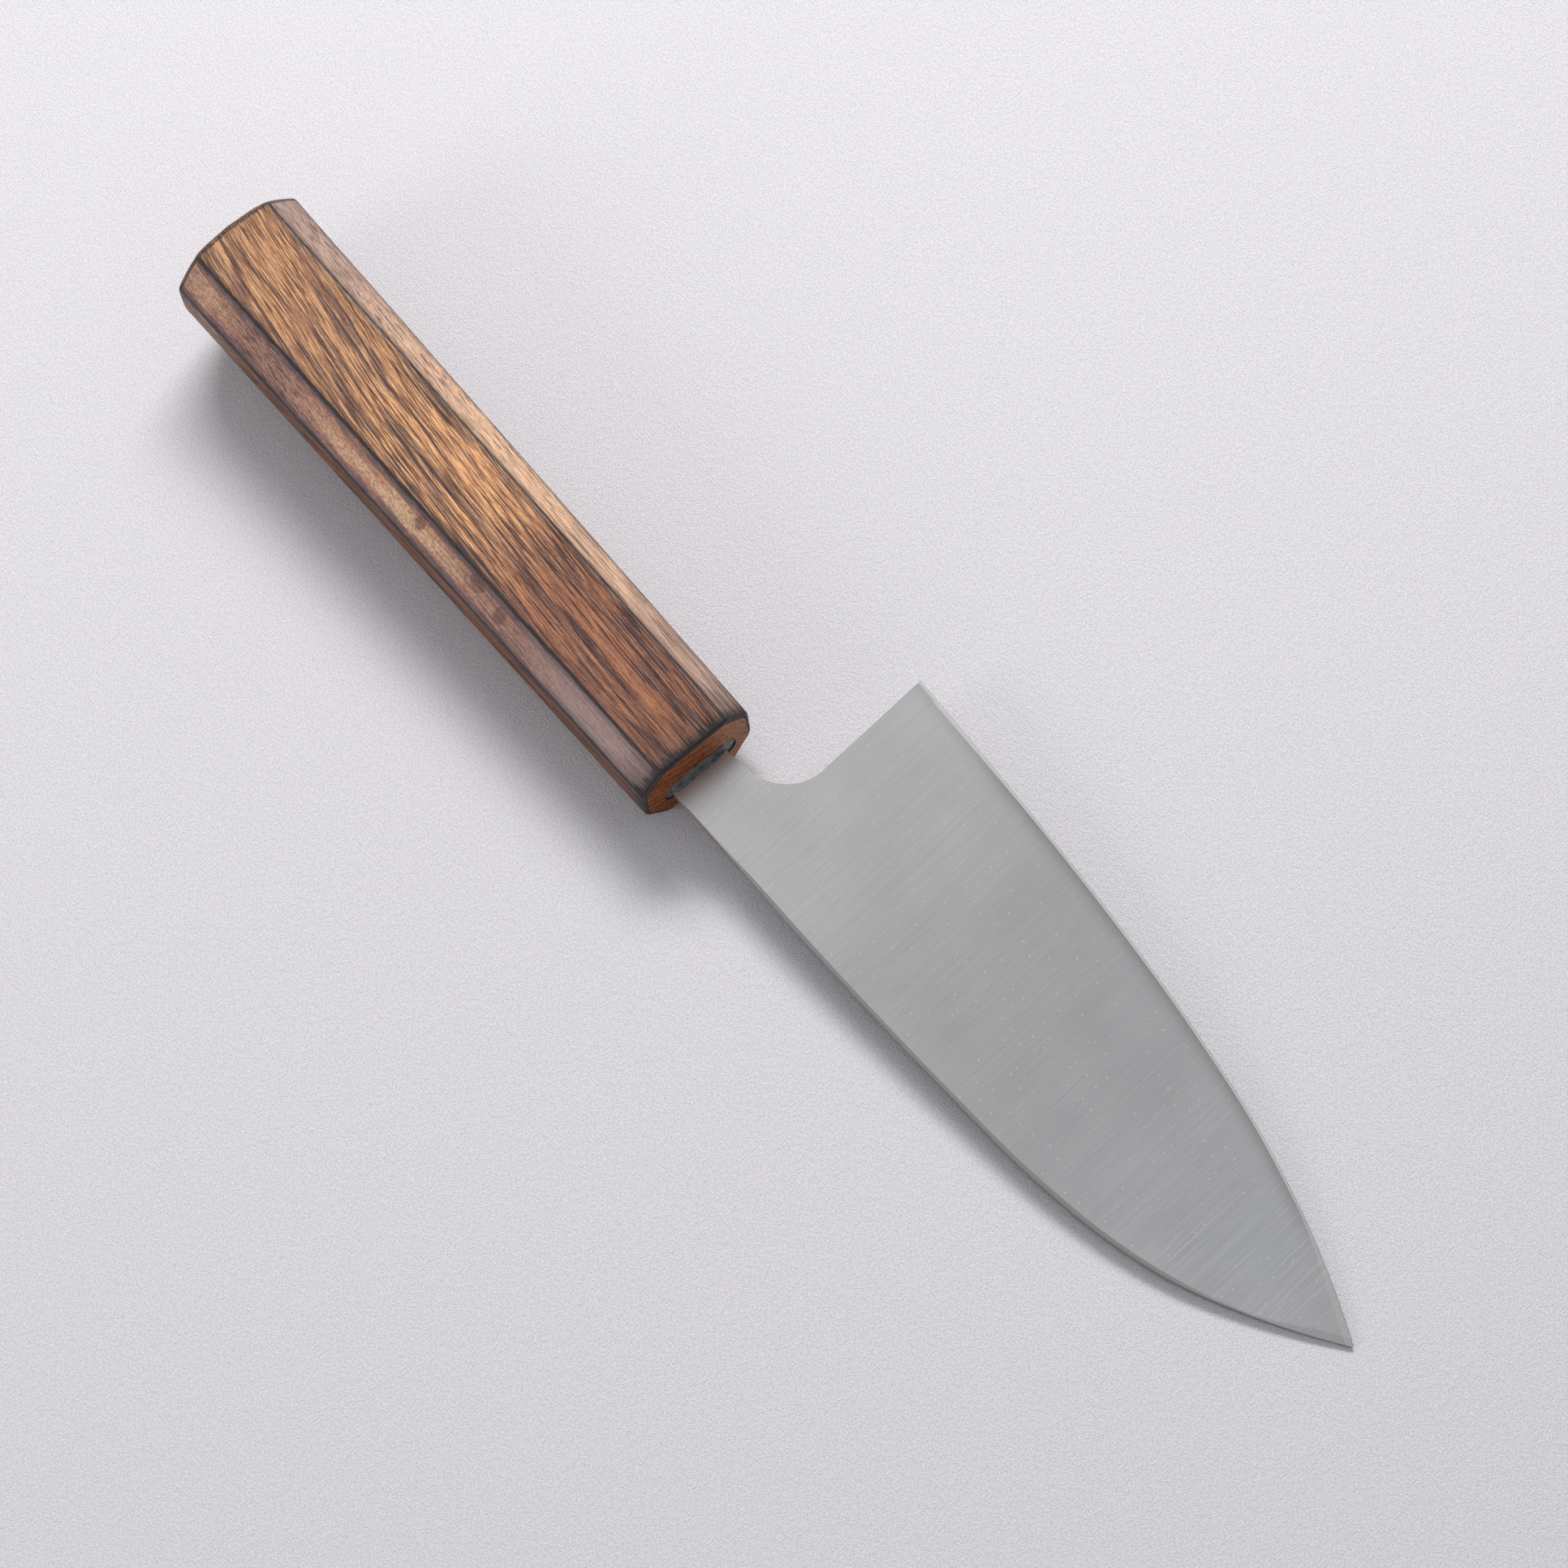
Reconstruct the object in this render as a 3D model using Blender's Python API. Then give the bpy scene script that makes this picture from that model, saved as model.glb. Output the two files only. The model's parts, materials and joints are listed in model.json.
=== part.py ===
"""Single-bevel fish-boning knife (Japanese deba pattern) with an octagonal, ferrule-less wooden handle.

Metres, +Z up. The knife is drawn in its own axes and then laid down to rest:
X runs along the handle's axis towards the tip, with 0 on the handle's front face;
Y runs from the spine towards the cutting edge; Z runs up from the handle's axis,
towards the hollow-ground back of the blade, which faces up.
The empty "resting_knife" carries every piece. It drops the tip until the blade's underside
touches the table, and puts the origin under the middle of the whole knife.
"""

import math

import bmesh
import bpy
from mathutils import Matrix, Vector

MM = 0.001

# Handle: an octagon that widens from the front face to the butt.
HANDLE_LENGTH = 129.5 * MM
FRONT_WIDTH = 24.0 * MM
FRONT_THICKNESS = 20.4 * MM
BUTT_WIDTH = 27.0 * MM
BUTT_THICKNESS = 22.9 * MM
# Corner cuts: run along Y, drop from the top facet, rise from the bottom facet.
FRONT_CORNERS = (4.4 * MM, 4.6 * MM, 6.0 * MM)
BUTT_CORNERS = (5.4 * MM, 6.0 * MM, 7.4 * MM)
BUTT_DOME_RADIUS = 44.0 * MM
FRONT_EDGE_ROUNDING = 0.5 * MM

# Mortise: a slot with rounded corners, drilled and burnt in along the handle.
SLOT_WIDTH = 15.6 * MM
SLOT_HEIGHT = 5.4 * MM
SLOT_CORNER = 2.0 * MM
SLOT_CENTRE_Y = 0.4 * MM
SLOT_CENTRE_Z = -2.4 * MM
MORTISE_DEPTH = 90.0 * MM

# Blade: the flat back lies at BACK_Z, and the body is thinner towards the tip.
BACK_Z = -0.9 * MM
NECK_THICKNESS = 3.0 * MM
TIP_THICKNESS = 0.8 * MM
TAPER_START_X = 80.0 * MM
TIP_X = 150.9 * MM
EDGE_LAND = 0.25 * MM
BEVEL_WIDTH_HEEL = 15.0 * MM
BEVEL_WIDTH_TIP = 4.0 * MM
# The spine's and the cutting edge's outlines, as (x, y) in mm.
SPINE_LINE = ((0, -6.1), (45, -6.1), (74, -5.15), (95, -3.9), (109, -1.8), (122.8, 2.0), (135.3, 7.7), (150.9, 17.2))
EDGE_LINE = ((0, 40.2), (13.2, 39.8), (39.4, 38.6), (65, 36.9), (90.5, 34.2), (115.3, 29.9), (136, 23.8), (150.9, 17.6))

# Finger notch between the neck and the heel.
NOTCH_CENTRE = (5.2 * MM, 15.9 * MM)
NOTCH_RADIUS = 9.45 * MM
NECK_EDGE_Y = 5.8 * MM
HEEL_X = 13.2 * MM
HEEL_Y = 39.8 * MM

# Hollow of the back, with a flat rim round it.
HOLLOW_DEPTH = 0.45 * MM
HOLLOW_START_X = 8.0 * MM
HOLLOW_FULL_X = 40.0 * MM
HOLLOW_FADE_X = 126.0 * MM
HOLLOW_END_X = 148.0 * MM
HOLLOW_RIM = 0.7 * MM

# Tang, hidden in the handle.
TANG_LENGTH = 84.0 * MM
TANG_END_HALF_WIDTH = 2.6 * MM
TANG_NECK_Y = (-6.1 * MM, 5.8 * MM)
TANG_END_THICKNESS = 2.0 * MM

# Resin round the tang, and its bead at the mouth of the slot.
GAP = 0.3 * MM
SEAL_BACK_X = -3.0 * MM
SEAL_FULL_X = 0.2 * MM
SEAL_FRONT_X = 1.5 * MM
# How far the bead's front draws in towards the middle of the blade, as shares of its width and height.
SEAL_DRAW_Y = 0.03
SEAL_DRAW_Z = 0.28


def clear_scene():
    for obj in list(bpy.data.objects):
        bpy.data.objects.remove(obj, do_unlink=True)


def make_material(name, colour, roughness, metallic=0.0):
    material = bpy.data.materials.new(name)
    material.use_nodes = True
    shader = material.node_tree.nodes["Principled BSDF"]
    shader.inputs["Base Color"].default_value = (*colour, 1.0)
    shader.inputs["Roughness"].default_value = roughness
    shader.inputs["Metallic"].default_value = metallic
    return material


def smooth_line(points):
    """y as a smooth function of x through points given in mm, straight on past both ends."""
    xs = [x * MM for x, _ in points]
    ys = [y * MM for _, y in points]
    runs = [(ys[i + 1] - ys[i]) / (xs[i + 1] - xs[i]) for i in range(len(xs) - 1)]
    slopes = [runs[0]]
    for i in range(1, len(runs)):
        before = xs[i] - xs[i - 1]
        after = xs[i + 1] - xs[i]
        slopes.append((runs[i - 1] * after + runs[i] * before) / (before + after))
    slopes.append(2 * runs[-1] - slopes[-1])

    def line(x):
        if x <= xs[0]:
            return ys[0] + slopes[0] * (x - xs[0])
        i = max(k for k in range(len(runs)) if x >= xs[k])
        run = xs[i + 1] - xs[i]
        t = (x - xs[i]) / run
        return (
            (1 + 2 * t) * (1 - t) ** 2 * ys[i]
            + t * (1 - t) ** 2 * run * slopes[i]
            + t * t * (3 - 2 * t) * ys[i + 1]
            + t * t * (t - 1) * run * slopes[i + 1]
        )

    return line


def ease(low, high, x):
    """0 below low, 1 above high, smooth between."""
    t = min(1.0, max(0.0, (x - low) / (high - low)))
    return t * t * (3 - 2 * t)


def blend(a, b, t):
    return a + (b - a) * t


spine_y = smooth_line(SPINE_LINE)
edge_y = smooth_line(EDGE_LINE)


def blade_thickness(x):
    """Spine thickness: even up to TAPER_START_X, then thinning along a gentle curve to the tip."""
    t = max(0.0, (x - TAPER_START_X) / (TIP_X - TAPER_START_X))
    return blend(NECK_THICKNESS, TIP_THICKNESS, t**1.6)


def hollow_depth(x):
    return HOLLOW_DEPTH * ease(HOLLOW_START_X, HOLLOW_FULL_X, x) * (1 - ease(HOLLOW_FADE_X, HOLLOW_END_X, x))


def cap(bm, row, fanned):
    """Closes a ring, with a fan round its middle where points of the ring may lie in one line."""
    if not fanned:
        bm.faces.new(row)
        return
    middle = bm.verts.new(sum((vert.co for vert in row), Vector()) / len(row))
    for i, vert in enumerate(row):
        bm.faces.new((vert, row[(i + 1) % len(row)], middle))


def loft(name, rings, material, smooth_angle=None, fanned=True):
    """A closed solid through rings of equally many points, capped at both ends."""
    mesh = bpy.data.meshes.new(name)
    bm = bmesh.new()
    rows = [[bm.verts.new(point) for point in ring] for ring in rings]
    count = len(rings[0])
    for row, following in zip(rows, rows[1:]):
        for i in range(count):
            j = (i + 1) % count
            bm.faces.new((row[i], row[j], following[j], following[i]))
    cap(bm, rows[0], fanned)
    cap(bm, rows[-1], fanned)
    bmesh.ops.triangulate(bm, faces=bm.faces)
    bmesh.ops.recalc_face_normals(bm, faces=bm.faces)
    bm.to_mesh(mesh)
    bm.free()
    mesh.materials.append(material)
    if smooth_angle is not None:
        mesh.shade_smooth()
        mesh.set_sharp_from_angle(angle=smooth_angle)
    obj = bpy.data.objects.new(name, mesh)
    bpy.context.scene.collection.objects.link(obj)
    return obj


def make_cutter(obj):
    obj.hide_render = True
    obj.display_type = "WIRE"
    return obj


def cut(obj, cutter):
    modifier = obj.modifiers.new("cut_" + cutter.name, "BOOLEAN")
    modifier.operation = "DIFFERENCE"
    modifier.solver = "EXACT"
    modifier.object = cutter


def blade_ring(x):
    """Cross-section of the blade blank at x: back with its hollow, edge, bevel, outer face, spine."""
    low = spine_y(x)
    high = edge_y(x)
    width = high - low
    thickness = blade_thickness(x)
    under = BACK_Z - thickness
    land = min(EDGE_LAND, thickness * 0.5)
    rim = min(HOLLOW_RIM, width * 0.2)
    ring = [(x, low, BACK_Z)]
    steps = 8
    for i in range(steps + 1):
        t = i / steps
        ring.append((x, blend(low + rim, high - rim, t), BACK_Z - hollow_depth(x) * 4 * t * (1 - t)))
    ring.append((x, high, BACK_Z))
    ring.append((x, high, BACK_Z - land))
    bevel = blend(BEVEL_WIDTH_HEEL, BEVEL_WIDTH_TIP, max(0.0, x / TIP_X) ** 2)
    ring.append((x, high - min(bevel, width * 0.6), under))
    ring.append((x, low, under))
    return ring


def tang_ring(x, grow=0.0):
    """Cross-section of the tang at x, below 0: a plain tapering bar with as many points as blade_ring."""
    t = max(0.0, -x / TANG_LENGTH)
    low = blend(TANG_NECK_Y[0], -TANG_END_HALF_WIDTH, t) - grow
    high = blend(TANG_NECK_Y[1], TANG_END_HALF_WIDTH, t) + grow
    if x > 0:
        high += (NOTCH_CENTRE[1] - NOTCH_RADIUS - NECK_EDGE_Y) * x / NOTCH_CENTRE[0]
    thickness = blend(NECK_THICKNESS, TANG_END_THICKNESS, t)
    middle = BACK_Z - NECK_THICKNESS / 2
    top = middle + thickness / 2 + grow
    under = middle - thickness / 2 - grow
    ring = [(x, blend(low, high, i / 10), top) for i in range(11)]
    ring += [(x, high, under), (x, blend(low, high, 0.5), under), (x, low, under)]
    return ring


def blade_and_tang_rings():
    rings = [tang_ring(blend(-TANG_LENGTH, 0.0, i / 4)) for i in range(5)]
    near = 0.1 * MM
    body_steps = 34
    for i in range(body_steps + 1):
        # Stations draw closer together towards the tip.
        t = math.sin(0.5 * math.pi * i / body_steps)
        rings.append(blade_ring(blend(near, TIP_X, t)))
    return rings


def neck_clearance_rings():
    """The tang and neck with the gap that the resin keeps to them."""
    behind = -TANG_LENGTH - GAP
    ahead = SEAL_FRONT_X + 2 * MM
    return [tang_ring(x, GAP) for x in (behind, 0.0, ahead)]


def notch_outline():
    """The finger notch, from the neck round its arc to the heel."""
    behind = -4.0 * MM
    points = [(behind, NECK_EDGE_Y + 0.5 * MM), (0.0, NECK_EDGE_Y + 0.02 * MM)]
    steps = 14
    for i in range(steps + 1):
        angle = -0.5 * math.pi + 0.5 * math.pi * i / steps
        x = NOTCH_CENTRE[0] + NOTCH_RADIUS * math.cos(angle)
        y = NOTCH_CENTRE[1] + NOTCH_RADIUS * math.sin(angle)
        points.append((x, y))
    lean = (HEEL_X - points[-1][0]) / (HEEL_Y - points[-1][1])
    over = 4.0 * MM
    points.append((HEEL_X + lean * over, HEEL_Y + over))
    points.append((behind, HEEL_Y + over))
    return points


def make_blade():
    steel = make_material("ground_steel", (0.36, 0.36, 0.36), 0.38, 1.0)
    blade = loft("blade", blade_and_tang_rings(), steel, math.radians(20))
    outline = notch_outline()
    rings = [[(x, y, z) for x, y in outline] for z in (-8 * MM, 5 * MM)]
    cutter = make_cutter(loft("notch_cutter", rings, steel, fanned=False))
    cut(blade, cutter)
    return [blade, cutter]


def octagon(x, width, thickness, corners):
    run, drop, rise = corners
    half = width / 2
    top = thickness / 2
    right = [(half - run, top), (half, top - drop), (half, rise - top), (half - run, -top)]
    left = [(-y, z) for y, z in reversed(right)]
    return [(x, y, z) for y, z in right + left]


def handle_section(x):
    """The octagon at x, read along the handle's straight taper."""
    t = -x / HANDLE_LENGTH
    corners = [blend(a, b, t) for a, b in zip(FRONT_CORNERS, BUTT_CORNERS)]
    return octagon(x, blend(FRONT_WIDTH, BUTT_WIDTH, t), blend(FRONT_THICKNESS, BUTT_THICKNESS, t), corners)


def domed(point, scale):
    """A point of the butt's outline, drawn in towards the axis by scale and laid on the dome."""
    y = point[1] * scale
    z = point[2] * scale
    corner = math.hypot(BUTT_WIDTH / 2, BUTT_THICKNESS / 2 - BUTT_CORNERS[1])
    sag = math.sqrt(BUTT_DOME_RADIUS**2 - y * y - z * z) - math.sqrt(BUTT_DOME_RADIUS**2 - corner**2)
    return (-HANDLE_LENGTH - sag, y, z)


def divided(ring, parts):
    """The ring with each side split into equal parts."""
    points = []
    for a, b in zip(ring, ring[1:] + ring[:1]):
        for i in range(parts):
            points.append(tuple(blend(p, q, i / parts) for p, q in zip(a, b)))
    return points


def slot_outline(grow=0.0):
    """The slot's rounded rectangle as (y, z) points."""
    radius = SLOT_CORNER + grow
    reach_y = SLOT_WIDTH / 2 - SLOT_CORNER
    reach_z = SLOT_HEIGHT / 2 - SLOT_CORNER
    points = []
    steps = 5
    for quarter, (side_y, side_z) in enumerate(((1, 1), (-1, 1), (-1, -1), (1, -1))):
        for i in range(steps + 1):
            angle = 0.5 * math.pi * (quarter + i / steps)
            y = SLOT_CENTRE_Y + side_y * reach_y + radius * math.cos(angle)
            z = SLOT_CENTRE_Z + side_z * reach_z + radius * math.sin(angle)
            points.append((y, z))
    return points


def make_handle():
    wood = make_material("scorched_wood", (0.25, 0.12, 0.06), 0.5)
    parts = 4
    front = divided(handle_section(0.0), parts)
    shrink = 1 - FRONT_EDGE_ROUNDING / (FRONT_THICKNESS / 2)
    rings = [[(x, y * shrink, z * shrink) for x, y, z in front]]
    for x in (-FRONT_EDGE_ROUNDING, -HANDLE_LENGTH / 2):
        rings.append(divided(handle_section(x), parts))
    butt = divided(handle_section(-HANDLE_LENGTH), parts)
    for scale in (1.0, 0.7, 0.4, 0.1):
        rings.append([domed(point, scale) for point in butt])
    handle = loft("handle_body", rings, wood, math.radians(20))
    rings = [[(x, y, z) for y, z in slot_outline()] for x in (2 * MM, -MORTISE_DEPTH)]
    cutter = make_cutter(loft("mortise_cutter", rings, wood))
    cut(handle, cutter)
    return [handle, cutter]


def make_resin():
    """The resin that beds the tang, and the bead that seals the slot's mouth round the blade."""
    resin = make_material("dark_resin", (0.03, 0.035, 0.03), 0.35)
    clearance = make_cutter(loft("neck_clearance", neck_clearance_rings(), resin))
    inside = slot_outline(-GAP)
    bedding_ends = (SEAL_BACK_X - GAP, -MORTISE_DEPTH + GAP)
    bedding = loft("tang_bedding", [[(x, y, z) for y, z in inside] for x in bedding_ends], resin)
    bead_rings = [[(x, y, z) for y, z in inside] for x in (SEAL_BACK_X, SEAL_FULL_X)]
    middle_y = (TANG_NECK_Y[0] + TANG_NECK_Y[1]) / 2
    bead_rings.append(
        [(SEAL_FRONT_X, blend(y, middle_y, SEAL_DRAW_Y), blend(z, SLOT_CENTRE_Z, SEAL_DRAW_Z)) for y, z in inside]
    )
    bead = loft("mouth_seal", bead_rings, resin)
    cut(bedding, clearance)
    cut(bead, clearance)
    return [bedding, bead, clearance]


def resting_pitch():
    """How far the tip drops before the blade's underside reaches the table under the handle's front edge."""
    stations = [TIP_X * i / 150 for i in range(15, 151)]
    climb = min((BACK_Z - blade_thickness(x) + FRONT_THICKNESS / 2) / x for x in stations)
    return math.atan(climb)


def lay_down(pieces):
    """Parents every piece to one empty, which gives the knife its resting pose."""
    rest = bpy.data.objects.new("resting_knife", None)
    bpy.context.scene.collection.objects.link(rest)
    for piece in pieces:
        piece.parent = rest
    turn = Matrix.Rotation(resting_pitch(), 4, "Y")
    bpy.context.view_layer.update()
    graph = bpy.context.evaluated_depsgraph_get()
    corners = []
    for piece in pieces:
        if not piece.hide_render:
            evaluated = piece.evaluated_get(graph)
            corners += [turn @ Vector(vertex.co) for vertex in evaluated.data.vertices]
    lows = [min(point[i] for point in corners) for i in range(3)]
    highs = [max(point[i] for point in corners) for i in range(3)]
    centre = Vector(((lows[0] + highs[0]) / 2, (lows[1] + highs[1]) / 2, lows[2]))
    rest.rotation_euler = (0.0, resting_pitch(), 0.0)
    rest.location = -centre


def main():
    clear_scene()
    lay_down(make_blade() + make_handle() + make_resin())


main()
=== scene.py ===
"""Looks of the boning knife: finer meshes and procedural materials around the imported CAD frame.

Every piece is drawn in the knife's own axes, in millimetres, and placed by the record's mounts:
X along the handle towards the tip, 0 on the handle's front face; Y from the spine to the edge;
Z from the handle's axis towards the hollow back of the blade.
"""

import json
import math

import bmesh
import bpy
from mathutils import Matrix, Vector, noise


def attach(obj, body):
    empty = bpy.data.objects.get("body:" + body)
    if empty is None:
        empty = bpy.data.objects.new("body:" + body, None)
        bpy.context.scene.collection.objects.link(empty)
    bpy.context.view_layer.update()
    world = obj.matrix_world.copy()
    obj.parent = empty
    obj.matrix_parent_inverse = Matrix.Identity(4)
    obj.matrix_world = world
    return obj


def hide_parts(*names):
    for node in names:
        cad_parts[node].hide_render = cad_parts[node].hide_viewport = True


MM = 0.001

# Driving sizes in mm, the same as the CAD's. FRONT and BUTT are the handle's section at its ends:
# width, thickness, and the corner cuts' run along Y, drop from the top and rise from the bottom.
HANDLE_LENGTH = 129.5
FRONT = (24.0, 20.4, 4.4, 4.6, 6.0)
BUTT = (27.0, 22.9, 5.4, 6.0, 7.4)
DOME_RADIUS = 44.0
# The domed end stays this far inside the CAD's.
DOME_INSET = 0.03
SLOT_WIDTH = 15.6
SLOT_HEIGHT = 5.4
SLOT_CORNER = 2.0
SLOT_CENTRE = (0.4, -2.4)
MORTISE_DEPTH = 90.0
BACK_Z = -0.9
NECK_THICKNESS = 3.0
TIP_THICKNESS = 0.8
TAPER_START = 80.0
TIP_X = 150.9
# The spine's and the cutting edge's outlines, as (x, y).
SPINE_LINE = (
    (0, -6.1),
    (45, -6.1),
    (74, -5.15),
    (95, -3.9),
    (109, -1.8),
    (122.8, 2.0),
    (135.3, 7.7),
    (150.9, 17.2),
)
EDGE_LINE = (
    (0, 40.2),
    (13.2, 39.8),
    (39.4, 38.6),
    (65, 36.9),
    (90.5, 34.2),
    (115.3, 29.9),
    (136, 23.8),
    (150.9, 17.6),
)
NOTCH_CENTRE = (5.2, 15.9)
NOTCH_RADIUS = 9.45
NECK_SPINE_Y = -6.1
NECK_EDGE_Y = 5.8
HEEL = (13.2, 39.8)
TANG_LENGTH = 84.0
TANG_END_HALF = 2.6
TANG_END_THICKNESS = 2.0
BEVEL_WIDTH_HEEL = 15.0
BEVEL_WIDTH_TIP = 4.0
EDGE_THICKNESS = 0.12
HOLLOW_DEPTH = 0.45
# The mount on the handle's front face lies this far above the handle's axis.
MOUNT_HEIGHT = 5.0

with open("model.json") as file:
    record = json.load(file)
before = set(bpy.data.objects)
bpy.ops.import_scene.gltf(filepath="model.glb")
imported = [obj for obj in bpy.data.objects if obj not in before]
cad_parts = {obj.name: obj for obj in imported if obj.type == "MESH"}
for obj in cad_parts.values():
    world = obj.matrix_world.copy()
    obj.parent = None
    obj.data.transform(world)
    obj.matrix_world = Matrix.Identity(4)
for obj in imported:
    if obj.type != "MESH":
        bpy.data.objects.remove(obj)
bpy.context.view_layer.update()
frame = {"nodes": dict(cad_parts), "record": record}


# ---------------------------------------------------------------- placing and small helpers


def knife_axes():
    """The knife's own axes in the row frame, from two of the record's flat faces."""
    mounts = {mount["name"]: mount for mount in frame["record"]["mounts"]}
    front = mounts["handle_front"]
    x_axis = Vector(front["axis"]).normalized()
    z_axis = -Vector(mounts["blade_outer_face"]["axis"])
    y_axis = z_axis.cross(x_axis).normalized()
    z_axis = x_axis.cross(y_axis)
    origin = Vector(front["pos_m"]) - z_axis * MOUNT_HEIGHT * MM
    turn = Matrix((x_axis, y_axis, z_axis)).transposed().to_4x4()
    return Matrix.Translation(origin) @ turn


KNIFE = knife_axes()


def blend(a, b, t):
    return a + (b - a) * t


def clamp(value, low=0.0, high=1.0):
    return max(low, min(high, value))


def ease(low, high, x):
    t = clamp((x - low) / (high - low))
    return t * t * (3 - 2 * t)


def hump(centre, half_width, x):
    """1 at the centre, falling smoothly to 0 at half_width from it."""
    return 1 - ease(0.0, half_width, abs(x - centre))


def smooth_line(points):
    """y as a smooth function of x through the points."""
    xs = [point[0] for point in points]
    ys = [point[1] for point in points]
    runs = [(ys[i + 1] - ys[i]) / (xs[i + 1] - xs[i]) for i in range(len(xs) - 1)]
    slopes = [runs[0]]
    for i in range(1, len(runs)):
        before = xs[i] - xs[i - 1]
        after = xs[i + 1] - xs[i]
        slopes.append((runs[i - 1] * after + runs[i] * before) / (before + after))
    slopes.append(2 * runs[-1] - slopes[-1])

    def line(x):
        if x <= xs[0]:
            return ys[0] + slopes[0] * (x - xs[0])
        i = max(k for k in range(len(runs)) if x >= xs[k])
        run = xs[i + 1] - xs[i]
        t = (x - xs[i]) / run
        return (
            (1 + 2 * t) * (1 - t) ** 2 * ys[i]
            + t * (1 - t) ** 2 * run * slopes[i]
            + t * t * (3 - 2 * t) * ys[i + 1]
            + t * t * (t - 1) * run * slopes[i + 1]
        )

    return line


spine_y = smooth_line(SPINE_LINE)
edge_y = smooth_line(EDGE_LINE)


def wobble(x, seed, size):
    """Smooth noise between -1 and 1 that changes over about size mm."""
    return noise.noise(Vector((x / size, seed * 7.31, seed * 2.17)))


def finish_mesh(name, shape, material, node, sharp_angle):
    """Makes the piece that stands for a CAD node. The shape's named values become attributes."""
    bm = shape.bm
    bmesh.ops.recalc_face_normals(bm, faces=bm.faces)
    places = [number / MM for vertex in bm.verts for number in vertex.co]
    bm.transform(KNIFE)
    mesh = bpy.data.meshes.new(name)
    bm.to_mesh(mesh)
    bm.free()
    for key, numbers in shape.values.items():
        attribute = mesh.attributes.new(key, "FLOAT", "POINT")
        attribute.data.foreach_set("value", numbers)
    mesh.attributes.new("knife_mm", "FLOAT_VECTOR", "POINT").data.foreach_set("vector", places)
    mesh.materials.append(material)
    mesh.shade_smooth()
    mesh.set_sharp_from_angle(angle=math.radians(sharp_angle))
    obj = bpy.data.objects.new(name, mesh)
    bpy.context.scene.collection.objects.link(obj)
    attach(obj, "root")
    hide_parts(node)


class Shape:
    """A mesh in the making, in mm, with named values at each point."""

    def __init__(self, keys):
        self.bm = bmesh.new()
        self.values = {key: [] for key in keys}

    def point(self, x, y, z, **values):
        for key, numbers in self.values.items():
            numbers.append(values.get(key, 0.0))
        return self.bm.verts.new((x * MM, y * MM, z * MM))

    def face(self, *corners):
        unique = []
        for corner in corners:
            if corner not in unique:
                unique.append(corner)
        if len(unique) > 2:
            self.bm.faces.new(unique)

    def strip(self, row, following, closed):
        count = len(row)
        for i in range(count if closed else count - 1):
            j = (i + 1) % count
            self.face(row[i], row[j], following[j], following[i])


# ---------------------------------------------------------------- material nodes


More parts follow.
